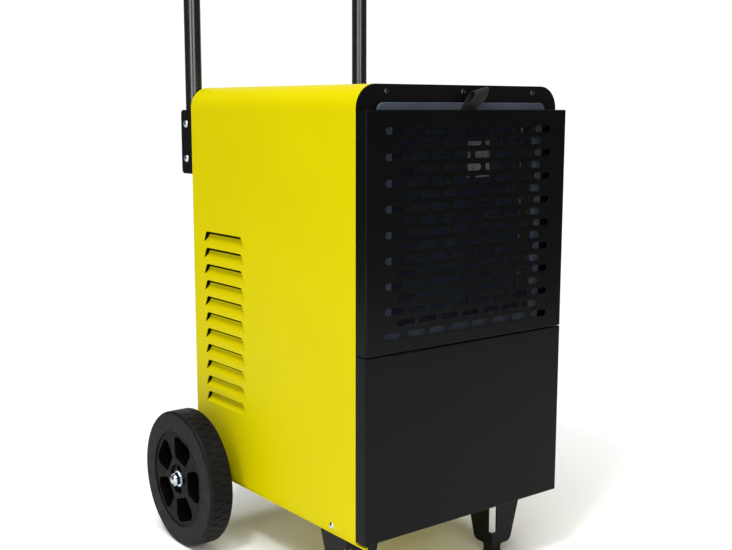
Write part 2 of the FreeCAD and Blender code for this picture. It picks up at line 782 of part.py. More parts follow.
def make_coil_tubes(y_middle):
    """One serpentine: up the front row, across at the top, down the rear row."""
    left = coil_left - 3 - coil_bend
    right = coil_right + 3 + coil_bend
    heights = [coil_first_row + coil_pitch * row for row in range(coil_rows)]
    front = y_middle - coil_bend
    rear = y_middle + coil_bend
    points = [V(port_x, front, heights[0])]
    ends = (left, right)
    for row, z in enumerate(heights):
        if row > 0:
            points.append(V(ends[(row + 1) % 2], front, z))
        points.append(V(ends[row % 2], front, z))
    for row in range(coil_rows - 1, -1, -1):
        points.append(V(ends[row % 2], rear, heights[row]))
        if row > 0:
            points.append(V(ends[(row + 1) % 2], rear, heights[row]))
    points.append(V(port_x, rear, heights[0]))
    return pipe(points, coil_bend, coil_tube_radius, coil_tube_radius - coil_tube_wall)


for coil, y_middle in (("evaporator", evaporator_y), ("condenser", condenser_y)):
    nodes[coil + "_fins"] = group([make_coil_fins(y_middle), make_coil_end_plates(y_middle)])
    nodes[coil + "_tubes"] = make_coil_tubes(y_middle)
nodes["defrost_sensor_pad"] = box(21.5, 60.5, evaporator_front - 1.2, evaporator_front, 560.5, 609)


# ---------------------------------------------------------------- shelf, tray and drain
def make_coil_shelf():
    """Shelf under the coils, welded to the left skin and the front frame."""
    top = tray_floor - 2
    bottom = top - sheet
    deck = box(-inner_half, 139, cabinet_front + sheet, -60, bottom, top)
    front_flange = box(-160, 139, cabinet_front, cabinet_front + sheet, bottom - 14, top)
    left_flange = box(-inner_half, -inner_half + sheet, cabinet_front + sheet, -60, bottom - 14, bottom)
    right_flange = box(139 - sheet, 139, cabinet_front + sheet, -60, bottom - 14, bottom)
    shelf = joined([deck, front_flange, left_flange, right_flange])
    return shelf.cut(rod_z(10, bottom - 20, top + 1, drain_x, spout_y))


def make_drip_tray():
    outer = box(-168, 138, -212, -99, tray_floor - 2, 362)
    inner = box(-166, 136, -210, -100.7, tray_floor, 363)
    spout = rod_z(7, 320, tray_floor - 2, drain_x, spout_y)
    return joined([outer.cut(inner), spout]).cut(rod_z(5, 319, tray_floor + 1, drain_x, spout_y))


def make_drain_hose():
    path = [V(drain_x, spout_y, 336), V(drain_x, spout_y, drain_z), V(drain_x, 184, drain_z)]
    return pipe(path, 45, 9.5, 7.0)


def make_drain_outlet():
    """Hose tail through the rear cover, barbed on the outside."""
    flange_disc = rod_y(15, rear_face, rear_face + 3, drain_x, drain_z)
    inside = rod_y(7, 164, rear_face, drain_x, drain_z)
    collar = rod_y(9, cabinet_rear, rear_face, drain_x, drain_z)
    outside = rod_y(8, rear_face + 3, rear_face + 30, drain_x, drain_z)
    barb = Part.makeCone(8, 7, 4, V(drain_x, rear_face + 30, drain_z), backward)
    body = joined([flange_disc, inside, collar, outside, barb])
    return body.cut(rod_y(5, 163, rear_face + 35, drain_x, drain_z))


nodes["coil_shelf"] = make_coil_shelf()
nodes["drip_tray"] = make_drip_tray()
nodes["drain_hose"] = make_drain_hose()
nodes["drain_outlet"] = make_drain_outlet()


# ---------------------------------------------------------------- fan
def make_fan_shroud():
    ring_rear = -64
    panel = plate([(-inner_half, tray_floor - 2, 0), (139, tray_floor - 2, 0), (139, 674, 0),
                   (-inner_half, 674, 27)], on_xz(shroud_y), V(0, sheet, 0))
    ring = rod_y(fan_radius + 8, shroud_y, ring_rear, fan_x, fan_z)
    hole = rod_y(fan_radius + 6, shroud_y - 1, ring_rear + 1, fan_x, fan_z)
    return joined([panel, ring]).cut(hole)


def make_fan_motor_bracket():
    """Four-armed spider across the rear of the fan ring."""
    y0 = -64.0
    y1 = -61.5
    ring = rod_y(fan_radius + 10, y0, y1, fan_x, fan_z).cut(
        rod_y(fan_radius + 3, y0 - 1, y1 + 1, fan_x, fan_z))
    disc = rod_y(44, y0, y1, fan_x, fan_z)
    arm = box(fan_x - 8, fan_x + 8, y0, y1, fan_z - fan_radius - 5, fan_z + fan_radius + 5)
    cross_arm = arm.copy()
    cross_arm.rotate(V(fan_x, 0, fan_z), V(0, 1, 0), 90)
    spider = joined([ring, disc, arm, cross_arm])
    return spider.cut(rod_y(8, y0 - 1, y1 + 1, fan_x, fan_z))


def make_fan_motor():
    body = rod_y(42, -61.5, -4, fan_x, fan_z)
    rim = edges_where(body, lambda p: abs(p.y + 4) < 0.01)
    body = body.makeFillet(6, [e for e in rim if abs(e.BoundBox.YLength) < 0.01])
    return body.cut(rod_y(4.05, -62, -38, fan_x, fan_z))


def blade_section(radius, chord, pitch_degrees):
    """Thin slanted rectangle across one blade at a given radius from the axis."""
    angle = math.radians(pitch_degrees)
    along = V(math.cos(angle), math.sin(angle), 0) * (chord / 2)
    across = V(-math.sin(angle), math.cos(angle), 0) * 1.1
    centre = V(fan_x, -80, fan_z + radius)
    corners = [centre + along + across, centre - along + across,
               centre - along - across, centre + along - across]
    return Part.makePolygon(corners + corners[:1])


def make_fan_impeller():
    hub = rod_y(30, -93, -67, fan_x, fan_z)
    blade = Part.makeLoft(
        [blade_section(26, 26, 40), blade_section(65, 50, 30), blade_section(fan_radius - 1, 62, 22)],
        True, True)
    blades = []
    for k in range(fan_blades):
        copy = blade.copy()
        copy.rotate(V(fan_x, 0, fan_z), V(0, 1, 0), 360.0 * k / fan_blades)
        blades.append(copy)
    impeller = hub.fuse(blades)
    return impeller.cut(rod_y(4.0, -94, -66, fan_x, fan_z))


nodes["fan_shroud"] = make_fan_shroud()
nodes["fan_motor_bracket"] = make_fan_motor_bracket()
nodes["fan_motor"] = make_fan_motor()
nodes["fan_shaft"] = rod_y(4.0, -96, -40, fan_x, fan_z)
nodes["fan_impeller"] = make_fan_impeller()


# ---------------------------------------------------------------- compressor
def foot_centre(degrees, radius):
    angle = math.radians(degrees)
    return compressor_x + radius * math.cos(angle), compressor_y + radius * math.sin(angle)


def make_compressor_body():
    outer = rod_z(compressor_radius, can_bottom, can_split, compressor_x, compressor_y)
    rim = [e for e in outer.Edges if e.BoundBox.ZMax < can_bottom + 0.01]
    outer = outer.makeFillet(18, rim)
    inner = rod_z(compressor_radius - can_wall, can_bottom + can_wall, can_split + 1,
                  compressor_x, compressor_y)
    return outer.cut(inner)


def make_compressor_cap():
    outer = rod_z(compressor_radius, can_split, can_top, compressor_x, compressor_y)
    rim = [e for e in outer.Edges if e.BoundBox.ZMin > can_top - 0.01]
    outer = outer.makeFillet(24, rim)
    inner = rod_z(compressor_radius - can_wall - 14, can_split - 1, can_top - can_wall,
                  compressor_x, compressor_y)
    stub = rod_z(6.5, can_top, can_top + 10, compressor_x, compressor_y)
    return joined([outer.cut(inner), stub])


def make_compressor_feet():
    corners = [foot_centre(angle, 118) + (20,) for angle in compressor_foot_angles]
    body = plate(corners, lambda u, v: V(u, v, can_bottom - 3), V(0, 0, 3))
    holes = [rod_z(5, can_bottom - 4, can_bottom + 1, *foot_centre(angle, 84))
             for angle in compressor_foot_angles]
    return body.cut(group(holes))


def make_compressor_grommets():
    rings = []
    for angle in compressor_foot_angles:
        x, y = foot_centre(angle, 84)
        ring = rod_z(12, pan_top, can_bottom - 3, x, y)
        rings.append(ring.cut(rod_z(4, pan_top - 1, can_bottom, x, y)))
    return group(rings)


def make_compressor_bolts():
    bolts = []
    for angle in compressor_foot_angles:
        x, y = foot_centre(angle, 84)
        head = hex_prism(10, V(x, y, can_bottom + 2), V(0, 0, 1), 4)
        collar = rod_z(9, can_bottom, can_bottom + 2, x, y)
        bolts.append(joined([head, collar, rod_z(3, pan_top, can_bottom, x, y)]))
    return group(bolts)


def make_accumulator():
    """Suction accumulator with its elbow into the compressor's side."""
    body = rod_z(24, 165, 290, accumulator_x, compressor_y)
    rims = [e for e in body.Edges if abs(e.BoundBox.ZLength) < 0.01]
    body = body.makeFillet(10, rims)
    elbow = pipe([V(accumulator_x, compressor_y, 165), V(accumulator_x, compressor_y, 145),
                  V(compressor_x + compressor_radius + 0.1, compressor_y, 145)], 14, 5, 3.8)
    return group([body, elbow])


nodes["compressor"] = group([make_compressor_body(), make_compressor_cap(), make_compressor_feet()])
nodes["compressor_grommets"] = make_compressor_grommets()
chassis_bolts.append(make_compressor_bolts())
nodes["chassis_bolts"] = group(chassis_bolts)
nodes["terminal_cover"] = rod_z(12, can_top, can_top + 18, compressor_x - 21, compressor_y)
nodes["accumulator"] = make_accumulator()


# ---------------------------------------------------------------- refrigerant pipes
def make_suction_pipe():
    path = [V(port_x, evaporator_y - coil_bend, coil_first_row),
            V(riser_x, evaporator_y - coil_bend, coil_first_row),
            V(riser_x, evaporator_y - coil_bend, 318), V(riser_x, compressor_y, 318),
            V(accumulator_x, compressor_y, 318), V(accumulator_x, compressor_y, 290)]
    return pipe(path, 12, coil_tube_radius, coil_tube_radius - coil_tube_wall)


def make_discharge_pipe():
    path = [V(compressor_x, compressor_y, can_top + 10), V(compressor_x, compressor_y, 358),
            V(riser_x, compressor_y, 358), V(riser_x, condenser_y + coil_bend, 358),
            V(riser_x, condenser_y + coil_bend, coil_first_row),
            V(port_x, condenser_y + coil_bend, coil_first_row)]
    return pipe(path, 10, coil_tube_radius, coil_tube_radius - coil_tube_wall)


def make_liquid_line():
    y = condenser_y - coil_bend
    path = [V(port_x, y, coil_first_row), V(riser_x, y, coil_first_row), V(riser_x, y, drier_bottom)]
    return pipe(path, 12, coil_tube_radius, coil_tube_radius - coil_tube_wall)


def make_filter_drier():
    y = condenser_y - coil_bend
    taper = 10
    lower = Part.makeCone(coil_tube_radius, 9.5, taper, V(riser_x, y, drier_bottom))
    middle = rod_z(9.5, drier_bottom + taper, drier_top - taper, riser_x, y)
    upper = Part.makeCone(9.5, 3, taper, V(riser_x, y, drier_top - taper))
    return joined([lower, middle, upper])


def make_capillary_tube():
    """Thin copper line from the drier to the evaporator, flared at its end."""
    start_y = condenser_y - coil_bend
    end_y = evaporator_y + coil_bend
    flare = 8
    path = [V(riser_x, start_y, drier_top), V(riser_x, start_y, 532), V(riser_x, end_y, 532),
            V(riser_x, end_y, coil_first_row), V(port_x + flare, end_y, coil_first_row)]
    line = pipe(path, 10, 2.0, 1.0)
    cone = Part.makeCone(coil_tube_radius, 2.0, flare, V(port_x, end_y, coil_first_row), V(1, 0, 0))
    return joined([line, cone])


nodes["suction_pipe"] = make_suction_pipe()
nodes["discharge_pipe"] = make_discharge_pipe()
nodes["liquid_line"] = group([make_liquid_line(), make_filter_drier(), make_capillary_tube()])


# ---------------------------------------------------------------- electrics and controls
def make_control_panel():
    """Moulded bezel on the rear cover, with button holes and a display window."""
    body = plate(rectangle(-95, 95, 584, 670, 6), on_xz(rear_face), V(0, panel_front - rear_face, 0))
    rims = [e for e in body.Edges if e.BoundBox.YMin > panel_front - 0.01]
    body = body.makeFillet(1.0, rims)
    holes = [box(-26, 26, rear_face - 1, panel_front + 1, 628, 652)]
    holes += [rod_y(button_radius + 0.4, rear_face - 1, panel_front + 1, x, button_z) for x in button_x]
    return body.cut(group(holes))


def make_button(x):
    """Round key with a collar behind the bezel that keeps it in."""
    cap = rod_y(button_radius, rear_face - 1.8, panel_front + 1.6, x, button_z)
    crown = [e for e in cap.Edges if e.BoundBox.YMin > panel_front + 1.5]
    cap = cap.makeFillet(0.8, crown)
    collar = rod_y(button_radius + 1.6, rear_face - 1.8, rear_face - 0.4, x, button_z)
    return joined([cap, collar])


def make_control_board():
    board = box(-80, 80, board_face - 1.6, board_face, 597, 657)
    switches = [box(x - 3, x + 3, board_face, rear_face - 3.2, button_z - 3, button_z + 3)
                for x in button_x]
    posts = [rod_y(3, board_face, rear_face, x, z) for x in (-76, 76) for z in (601, 653)]
    return joined([board] + switches + posts)


def make_electrics_box():
    outer = box(-98, 98, 110, cabinet_rear, 583, 667)
    inner = box(-98 + thin_sheet, 98 - thin_sheet, 110 + thin_sheet, cabinet_rear + 1,
                583 + thin_sheet, 667 - thin_sheet)
    entry = rod_z(9, 580, 590, 80, 150)
    return outer.cut(inner).cut(entry)


def make_power_board():
    floor = 110 + thin_sheet
    board = box(-85, 85, floor + 5, floor + 6.6, 625, 662)
    posts = [rod_y(3, floor, floor + 5, x, z) for x in (-80, 80) for z in (630, 657)]
    relays = [box(x, x + 18, floor + 6.6, floor + 22, 632, 647) for x in (-70, -45, -20)]
    transformer = box(15, 55, floor + 6.6, floor + 38, 628, 658)
    terminals = box(62, 82, floor + 6.6, floor + 18, 630, 658)
    return joined([board, transformer, terminals] + posts + relays)


def make_cable_gland():
    """Hollow gland in the rear cover: hexagon and dome outside, thread inside."""
    hexagon = hex_prism(24, V(gland_x, rear_face, gland_z), backward, 9)
    dome = Part.makeCone(11, 8.5, 9, V(gland_x, rear_face + 9, gland_z), backward)
    thread = rod_y(10, 180, rear_face, gland_x, gland_z)
    return joined([hexagon, dome, thread]).cut(rod_y(4.5, 179, rear_face + 19, gland_x, gland_z))


nodes["control_panel"] = make_control_panel()
nodes["display_window"] = box(-26, 26, rear_face + 0.8, panel_front - 0.6, 628, 652)
for name, x in zip(button_names, button_x):
    nodes["button_" + name] = make_button(x)
display_module = box(-23, 23, board_face, rear_face - 1, 630, 650)
nodes["control_board"] = group([make_control_board(), display_module])
nodes["electrics_box"] = make_electrics_box()
run_capacitor = rod_x(19, -75, 15, 150, 583 + thin_sheet + 19.1)
nodes["power_board"] = group([make_power_board(), run_capacitor])
gland_nut = hex_prism(26, V(gland_x, cabinet_rear, gland_z), forward, 5)
gland_nut = gland_nut.cut(rod_y(10, 180, 195, gland_x, gland_z))
nodes["cable_gland"] = group([make_cable_gland(), gland_nut])
nodes["humidity_sensor"] = box(-159, -147, cabinet_front, cabinet_front + 9, 560, 590)

# ---------------------------------------------------------------- one file per piece
os.makedirs("parts", exist_ok=True)
for name, shape in nodes.items():
    shape.exportStep("parts/" + name + ".step")
    print(name, len(shape.Solids), round(shape.Volume), shape.isValid())
print(len(nodes), "nodes")
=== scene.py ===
import json
import math

import bmesh
import bpy
from mathutils import Matrix, Vector


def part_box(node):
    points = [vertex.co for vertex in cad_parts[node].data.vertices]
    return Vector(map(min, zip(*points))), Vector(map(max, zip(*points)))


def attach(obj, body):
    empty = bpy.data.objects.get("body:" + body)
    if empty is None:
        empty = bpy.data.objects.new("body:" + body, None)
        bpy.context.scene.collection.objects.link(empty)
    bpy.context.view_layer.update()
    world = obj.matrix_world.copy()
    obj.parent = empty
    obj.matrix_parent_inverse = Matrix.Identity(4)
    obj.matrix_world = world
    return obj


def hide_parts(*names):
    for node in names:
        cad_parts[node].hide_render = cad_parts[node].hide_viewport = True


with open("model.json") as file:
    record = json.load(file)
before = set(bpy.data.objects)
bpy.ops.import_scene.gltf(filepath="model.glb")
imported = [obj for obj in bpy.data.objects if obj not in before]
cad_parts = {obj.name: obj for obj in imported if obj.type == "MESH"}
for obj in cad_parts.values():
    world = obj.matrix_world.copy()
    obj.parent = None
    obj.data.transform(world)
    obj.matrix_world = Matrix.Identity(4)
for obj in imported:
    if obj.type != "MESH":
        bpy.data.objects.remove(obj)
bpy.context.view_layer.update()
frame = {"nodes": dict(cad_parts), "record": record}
nodes = frame["nodes"]
MM = 0.001

# The camera stands to the front left of the machine, a little above the middle of its grille.
camera_place = (-0.9765, -1.2715, 0.6536)
camera_turn = (81.216, -0.091, -37.806)     # degrees about X, Y and Z
camera_lens = 53.45                         # millimetres, on a sensor 36 mm wide

# Softboxes: name, place, width, height and power in watts. They all face the cabinet's middle.
softboxes = [
    ("box_left", (-2.6, -1.5, 1.0), 1.1, 2.0, 32),
    ("box_front", (-1.0, -2.8, 1.0), 1.1, 2.0, 29),
    ("key", (-1.5, -0.95, 2.6), 0.35, 0.35, 32),
]
cabinet_middle = (0, 0, 0.6)
backdrop_direction = (0.61, 0.79, 0.0)      # from the camera past the machine

fin_pitch = 2.2 * MM
net_pitch = 2.2 * MM
strap_width = 26 * MM
strap_thickness = 1.3 * MM


# ------------------------------------------------------------------ camera
def add_camera():
    data = bpy.data.cameras.new("camera")
    data.lens = camera_lens
    data.sensor_width = 36.0
    data.clip_end = 100.0
    camera = bpy.data.objects.new("camera", data)
    bpy.context.scene.collection.objects.link(camera)
    camera.location = camera_place
    camera.rotation_euler = [math.radians(angle) for angle in camera_turn]
    bpy.context.scene.camera = camera


add_camera()


# ------------------------------------------------------------------ materials
class Shader:
    """One node material: a Principled shader with object coordinates to paint by."""

    def __init__(self, name, colour, roughness, metallic=0.0, specular=0.5):
        self.material = bpy.data.materials.new(name)
        self.material.use_nodes = True
        self.tree = self.material.node_tree
        self.shader = self.tree.nodes["Principled BSDF"]
        self.colour = colour
        self.set("Base Color", (*colour, 1.0))
        self.set("Roughness", roughness)
        self.set("Metallic", metallic)
        self.set("Specular IOR Level", specular)
        self.coordinates = self.tree.nodes.new("ShaderNodeTexCoord").outputs["Object"]
        self.height = None
        self.material.diffuse_color = (*colour, 1.0)

    def set(self, socket, value):
        self.shader.inputs[socket].default_value = value
        return self

    def link(self, output, socket):
        self.tree.links.new(output, socket)

    def noise(self, size, detail=3.0, stretch=(1.0, 1.0, 1.0)):
        """Noise whose lumps are about size metres across."""
        mapping = self.tree.nodes.new("ShaderNodeMapping")
        mapping.inputs["Scale"].default_value = [s / size for s in stretch]
        texture = self.tree.nodes.new("ShaderNodeTexNoise")
        texture.inputs["Scale"].default_value = 1.0
        texture.inputs["Detail"].default_value = detail
        self.link(self.coordinates, mapping.inputs["Vector"])
        self.link(mapping.outputs["Vector"], texture.inputs["Vector"])
        return texture.outputs["Fac"]

    def ramp(self, factor, low, high, low_value, high_value):
        """Value that goes from low_value to high_value as factor goes from low to high."""
        node = self.tree.nodes.new("ShaderNodeMapRange")
        numbers = (low, high, low_value, high_value)
        for name, value in zip(("From Min", "From Max", "To Min", "To Max"), numbers):
            node.inputs[name].default_value = value
        self.link(factor, node.inputs["Value"])
        return node.outputs["Result"]

    def tones(self, factor, dark, light):
        """Colour variation between the base colour times dark and times light."""
        node = self.tree.nodes.new("ShaderNodeValToRGB")
        node.color_ramp.elements[0].position = 0.3
        node.color_ramp.elements[1].position = 0.7
        node.color_ramp.elements[0].color = (*[c * dark for c in self.colour], 1.0)
        node.color_ramp.elements[1].color = (*[min(c * light, 1.0) for c in self.colour], 1.0)
        self.link(factor, node.inputs["Fac"])
        self.link(node.outputs["Color"], self.shader.inputs["Base Color"])
        return self

    def gloss(self, factor, low_roughness, high_roughness):
        self.link(self.ramp(factor, 0.3, 0.7, low_roughness, high_roughness),
                  self.shader.inputs["Roughness"])
        return self

    def bump(self, factor, height, strength=1.0):
        """Adds a relief of about height metres to the surface."""
        node = self.tree.nodes.new("ShaderNodeBump")
        node.inputs["Strength"].default_value = strength
        node.inputs["Distance"].default_value = height
        self.link(factor, node.inputs["Height"])
        if self.height is not None:
            self.link(self.height, node.inputs["Normal"])
        self.height = node.outputs["Normal"]
        self.link(self.height, self.shader.inputs["Normal"])
        return self


def powder_coat(name, colour, roughness, specular, tone=0.03, glaze=0.0):
    """Baked paint: soft waves, a fine grain, a slightly uneven gloss and a thin clear glaze."""
    s = Shader(name, colour, roughness, 0.0, specular)
    s.set("Coat Weight", glaze)
    s.set("Coat Roughness", 0.2)
    s.tones(s.noise(0.22, 2.0), 1.0 - tone, 1.0 + tone)
    s.gloss(s.noise(0.035), roughness - 0.05, roughness + 0.06)
    s.bump(s.noise(0.004, 2.0), 0.00004, 0.5)
    s.bump(s.noise(0.0009, 2.0), 0.00002, 0.6)
    return s.material


def moulded_plastic(name, colour, roughness, specular=0.4, grain=0.0008):
    """Moulded plastic or rubber with a fine spark-eroded grain and faint scuffs."""
    s = Shader(name, colour, roughness, 0.0, specular)
    s.tones(s.noise(0.03, 4.0), 0.86, 1.14)
    s.gloss(s.noise(0.012, 4.0), roughness - 0.07, roughness + 0.08)
    s.bump(s.noise(grain, 3.0), 0.00005, 0.6)
    return s.material


def bare_metal(name, colour, roughness, brushed=(1.0, 1.0, 1.0)):
    """Bare or plated metal with fine brushing and cloudy gloss."""
    s = Shader(name, colour, roughness, 1.0, 0.5)
    s.tones(s.noise(0.01, 4.0), 0.82, 1.1)
    s.gloss(s.noise(0.006, 3.0), roughness - 0.08, roughness + 0.1)
    s.bump(s.noise(0.0006, 2.0, brushed), 0.00002, 0.4)
    return s.material


def spangled_steel(name):
    """Galvanised sheet: crystal flakes in slightly different greys."""
    s = Shader(name, (0.52, 0.54, 0.56), 0.42, 1.0)
    cells = s.tree.nodes.new("ShaderNodeTexVoronoi")
    cells.inputs["Scale"].default_value = 140.0
    s.link(s.coordinates, cells.inputs["Vector"])
    s.tones(cells.outputs["Distance"], 0.8, 1.15)
    s.gloss(cells.outputs["Distance"], 0.34, 0.5)
    return s.material


def nylon_web(name):
    """Woven webbing: crossing ribs across and along the band."""
    s = Shader(name, (0.0045, 0.005, 0.0052), 0.62, 0.0, 0.2)
    s.set("Sheen Weight", 0.08)
    s.set("Sheen Roughness", 0.4)
    wave = s.tree.nodes.new("ShaderNodeTexWave")
    wave.inputs["Scale"].default_value = 320.0
    wave.inputs["Distortion"].default_value = 1.5
    s.link(s.coordinates, wave.inputs["Vector"])
    s.tones(wave.outputs["Fac"], 0.7, 1.5)
    s.bump(wave.outputs["Fac"], 0.0002, 0.8)
    s.bump(s.noise(0.0006, 2.0), 0.0001, 0.5)
    return s.material


def circuit_board(name):
    """Green laminate with faint darker tracks."""
    s = Shader(name, (0.02, 0.16, 0.06), 0.35, 0.0)
    tracks = s.tree.nodes.new("ShaderNodeTexBrick")
    tracks.inputs["Scale"].default_value = 90.0
    tracks.inputs["Color1"].default_value = (0.02, 0.17, 0.06, 1.0)
    tracks.inputs["Color2"].default_value = (0.03, 0.21, 0.08, 1.0)
    tracks.inputs["Mortar"].default_value = (0.01, 0.08, 0.03, 1.0)
    s.link(s.coordinates, tracks.inputs["Vector"])
    s.link(tracks.outputs["Color"], s.shader.inputs["Base Color"])
    return s.material


def smoked_lens(name):
    """Dark glossy display lens."""
    s = Shader(name, (0.012, 0.016, 0.022), 0.08, 0.0, 0.5)
    s.set("Coat Weight", 0.6)
    s.set("Coat Roughness", 0.03)
    s.gloss(s.noise(0.02), 0.05, 0.12)
    return s.material


finishes = {
    "yellow_paint": powder_coat("yellow_paint", (0.53, 0.46, 0.0), 0.4, 0.04, 0.02),
    "black_cover": powder_coat("black_cover", (0.0021, 0.0024, 0.0022), 0.4, 0.02, 0.12, 0.18),
    "black_frame": powder_coat("black_frame", (0.0036, 0.0036, 0.0038), 0.42, 0.03, 0.12, 0.2),
    "black_tube": powder_coat("black_tube", (0.003, 0.003, 0.0042), 0.24, 0.85, 0.12),
    "rear_paint": powder_coat("rear_paint", (0.0085, 0.0085, 0.009), 0.45, 0.25, 0.12),
    "black_screw": bare_metal("black_screw", (0.05, 0.05, 0.052), 0.22),
    "zinc": bare_metal("zinc", (0.5, 0.56, 0.62), 0.2),
    "filter_plastic": moulded_plastic("filter_plastic", (0.046, 0.056, 0.074), 0.5, 0.25),
    "filter_net": moulded_plastic("filter_net", (0.012, 0.016, 0.028), 0.55, 0.4),
    "strap_web": nylon_web("strap_web"),
    "wheel_plastic": moulded_plastic("wheel_plastic", (0.0018, 0.0018, 0.0019), 0.42, 0.04),
    "tyre_rubber": moulded_plastic("tyre_rubber", (0.006, 0.006, 0.0066), 0.5, 0.08),
    "black_rubber": moulded_plastic("black_rubber", (0.01, 0.01, 0.011), 0.7, 0.3),
    "fin_aluminium": bare_metal("fin_aluminium", (0.14, 0.24, 0.38), 0.36, (1.0, 1.0, 12.0)),
    "copper": bare_metal("copper", (0.78, 0.38, 0.22), 0.28),
    "sensor_pad": bare_metal("sensor_pad", (0.82, 0.83, 0.84), 0.5),
    "galvanised_steel": spangled_steel("galvanised_steel"),
    "tray_plastic": moulded_plastic("tray_plastic", (0.1, 0.1, 0.105), 0.5),
    "clear_hose": moulded_plastic("clear_hose", (0.55, 0.56, 0.54), 0.3),
    "fan_plastic": moulded_plastic("fan_plastic", (0.03, 0.03, 0.033), 0.45),
    "motor_steel": bare_metal("motor_steel", (0.5, 0.5, 0.52), 0.4),
    "shaft_steel": bare_metal("shaft_steel", (0.6, 0.6, 0.62), 0.2),
    "compressor_paint": powder_coat("compressor_paint", (0.012, 0.012, 0.013), 0.3, 0.5, 0.1),
    "panel_plastic": moulded_plastic("panel_plastic", (0.035, 0.036, 0.04), 0.5),
    "display_lens": smoked_lens("display_lens"),
    "key_plastic": moulded_plastic("key_plastic", (0.45, 0.46, 0.48), 0.4),
    "board_laminate": circuit_board("board_laminate"),
    "gland_plastic": moulded_plastic("gland_plastic", (0.016, 0.016, 0.017), 0.5),
    "sensor_plastic": moulded_plastic("sensor_plastic", (0.7, 0.7, 0.68), 0.5),
}


def node_slot(node):
    for entry in frame["record"]["subparts"]:
        if entry["node"] == node:
            return entry["material_slot"]
    raise KeyError(node)


for name, node in nodes.items():
    finish = finishes[node_slot(name)]
    if not node.material_slots:
        node.data.materials.append(finish)
    for material_slot in node.material_slots:
        material_slot.material = finish


# ------------------------------------------------------------------ mesh helpers
def new_piece(name, bm, slot_name, body, replaced=()):
    """A closed mesh piece that rides on a body and takes a slot's finish."""
    bmesh.ops.recalc_face_normals(bm, faces=bm.faces)
    mesh = bpy.data.meshes.new(name)
    bm.to_mesh(mesh)
    bm.free()
    piece = bpy.data.objects.new(name, mesh)
    bpy.context.scene.collection.objects.link(piece)
    mesh.materials.append(finishes[slot_name])
    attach(piece, body)
    if replaced:
        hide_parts(*replaced)
    return piece


def add_box(bm, low, high):
    """Closed box between two corners, in metres."""
    size = Vector(high) - Vector(low)
    middle = (Vector(high) + Vector(low)) / 2
    matrix = Matrix.Translation(middle) @ Matrix.Diagonal((*size, 1.0))
    bmesh.ops.create_cube(bm, size=1.0, matrix=matrix)


def skin_rings(bm, rings):
    """Quads between neighbouring rings of points, and a cap at each end."""
    count = len(rings[0])
    for one, two in zip(rings, rings[1:]):
        for k in range(count):
            bm.faces.new((one[k], one[(k + 1) % count], two[(k + 1) % count], two[k]))
    bm.faces.new(rings[0][::-1])
    bm.faces.new(rings[-1])


def smooth_numbers(values, steps):
    """Catmull-Rom values through the given ones, steps between each pair."""
    result = []
    last = len(values) - 1
    for k in range(last):
        a, b, c, d = (values[max(k - 1, 0)], values[k], values[k + 1], values[min(k + 2, last)])
        for step in range(steps):
            t = step / steps
            result.append(0.5 * ((2 * b) + (c - a) * t + (2 * a - 5 * b + 4 * c - d) * t * t
                                 + (3 * b - a - 3 * c + d) * t ** 3))
    result.append(values[-1])
    return result


def shade_smooth(piece, angle):
    """Smooth shading with creases kept where faces meet more sharply than the angle."""
    piece.data.shade_smooth()
    piece.data.set_sharp_from_angle(angle=math.radians(angle))


# ------------------------------------------------------------------ filter net
def make_filter_net():
    """Woven net of strands 0.4 mm wide in the filter's window."""
    low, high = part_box("filter_mesh")
    strand = 0.2 * MM
    middle = (low.y + high.y) / 2
    bm = bmesh.new()
    for k in range(1, int((high.x - low.x) / net_pitch) + 1):
        x = low.x + net_pitch * k
        add_box(bm, (x - strand, middle, low.z), (x + strand, middle + 2 * strand, high.z))
    for k in range(1, int((high.z - low.z) / net_pitch) + 1):
        z = low.z + net_pitch * k
        add_box(bm, (low.x, middle - 2 * strand, z - strand), (high.x, middle, z + strand))
    return new_piece("filter_net", bm, "filter_net", "air_filter", ["filter_mesh"])


# ------------------------------------------------------------------ cooling coil
def make_evaporator_fins():
    """Fin pack at its real pitch, between its two end plates."""
    low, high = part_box("evaporator_fins")
    plate = 1.2 * MM
    half_fin = 0.12 * MM
    inset = 1 * MM
    overhang = 8 * MM
    bm = bmesh.new()
    add_box(bm, low, (low.x + plate, high.y, high.z))
    add_box(bm, (high.x - plate, low.y, low.z), high)
    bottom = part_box("evaporator_tubes")[0].z - overhang
    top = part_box("evaporator_tubes")[1].z + overhang
    count = int((high.x - low.x - 4 * plate) / fin_pitch)
    for k in range(count):
        x = low.x + 2 * plate + fin_pitch * (k + 0.5)
        add_box(bm, (x - half_fin, low.y + inset, bottom), (x + half_fin, high.y - inset, top))
    return new_piece("evaporator_fin_pack", bm, "fin_aluminium", "cabinet", ["evaporator_fins"])


